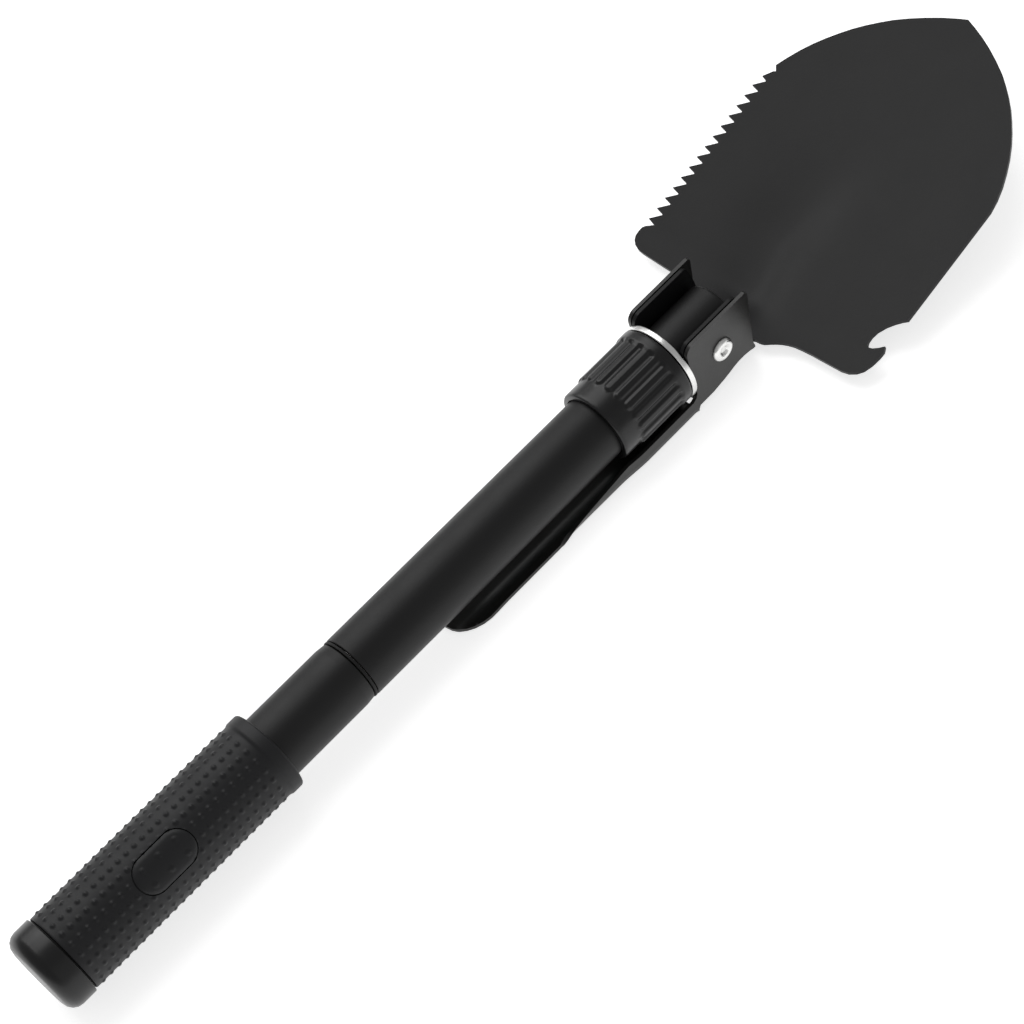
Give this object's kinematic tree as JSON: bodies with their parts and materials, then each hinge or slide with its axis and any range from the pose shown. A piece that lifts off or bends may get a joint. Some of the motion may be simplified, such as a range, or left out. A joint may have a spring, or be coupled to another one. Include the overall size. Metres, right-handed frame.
{
  "type": "folding camp shovel",
  "caption": "Folding camp shovel with a dished saw-edged blade, bottle-opener hook, fold-out pick, ribbed locking collar and a studded grip with a screw cap over a compass",
  "frame": {"origin": "centre of the bounding box in X and Y, on the flat back of the folded pick that the shovel rests on", "axes": "+X runs along the handle from the butt cap to the blade's tip, +Y points to the saw edge, +Z out of the blade's hollow face"},
  "size_m": [0.4204, 0.1002, 0.033],
  "materials": {
    "blade_coat": "matt black powder coat",
    "coated_steel": "satin black powder coat",
    "bare_steel": "bright zinc-plated steel",
    "collar_plastic": "semi-gloss moulded black plastic",
    "grip_plastic": "satin black plastic with moulded studs",
    "black_rubber": "dull black rubber",
    "brass": "turned brass",
    "card_white": "printed-style plain white dial card",
    "needle_red": "red enamelled needle",
    "clear_lens": "clear lens"
  },
  "bodies": {
    "handle": {"pivot_stud": "coated_steel", "pivot_rivet": "bare_steel", "upper_tube": "coated_steel", "upper_tube_insert": "bare_steel"},
    "blade_body": {"blade": "blade_coat"},
    "pick_body": {"pick": "coated_steel"},
    "washer": {"lock_washer": "bare_steel"},
    "collar": {"locking_collar": "collar_plastic", "collar_nut": "bare_steel"},
    "ring": {"joint_ring": "black_rubber"},
    "lower_handle": {"lower_tube": "coated_steel", "joint_stud": "bare_steel", "grip_sleeve": "grip_plastic", "grip_inlay": "grip_plastic", "grip_plug": "collar_plastic", "compass_case": "brass", "compass_card": "card_white", "compass_pivot": "brass", "compass_lens": "clear_lens"},
    "needle": {"compass_needle": "needle_red"},
    "seal": {"cap_seal": "black_rubber"},
    "cap": {"butt_cap": "collar_plastic"}
  },
  "joints": [
    {"name": "blade_fold", "type": "hinge", "parent": "handle", "child": "blade_body", "pos_m": [0.0713, 0, 0.0174], "axis": [0, -1, 0], "range_deg": [0, 165]},
    {"name": "pick_fold", "type": "hinge", "parent": "handle", "child": "pick_body", "pos_m": [0.0713, 0, 0.0174], "axis": [0, -1, 0], "range_deg": [0, 90]},
    {"name": "lock_travel", "type": "slide", "parent": "handle", "child": "washer", "axis": [-1, 0, 0], "range_m": [0, 0.00605]},
    {"name": "collar_screw", "type": "hinge", "parent": "washer", "child": "collar", "pos_m": [0.0413, 0, 0.0174], "axis": [-1, 0, 0], "range_deg": [0, 1080]},
    {"name": "handle_travel", "type": "slide", "parent": "handle", "child": "ring", "axis": [-1, 0, 0], "range_m": [0, 0.0201]},
    {"name": "handle_screw", "type": "hinge", "parent": "ring", "child": "lower_handle", "pos_m": [-0.0813, 0, 0.0174], "axis": [-1, 0, 0], "range_deg": [0, 3600]},
    {"name": "needle_turn", "type": "hinge", "parent": "lower_handle", "child": "needle", "pos_m": [-0.20095, 0, 0.0174], "axis": [-1, 0, 0], "continuous": true},
    {"name": "cap_travel", "type": "slide", "parent": "lower_handle", "child": "seal", "axis": [-1, 0, 0], "range_m": [0, 0.0081]},
    {"name": "cap_screw", "type": "hinge", "parent": "seal", "child": "cap", "pos_m": [-0.2053, 0, 0.0174], "axis": [-1, 0, 0], "range_deg": [0, 1440]}
  ],
  "couplings": [
    {"joint": "lock_travel", "follows": "collar_screw", "m_per_rad": 0.00031831},
    {"joint": "handle_travel", "follows": "handle_screw", "m_per_rad": 0.00031831},
    {"joint": "cap_travel", "follows": "cap_screw", "m_per_rad": 0.00031831}
  ]
}
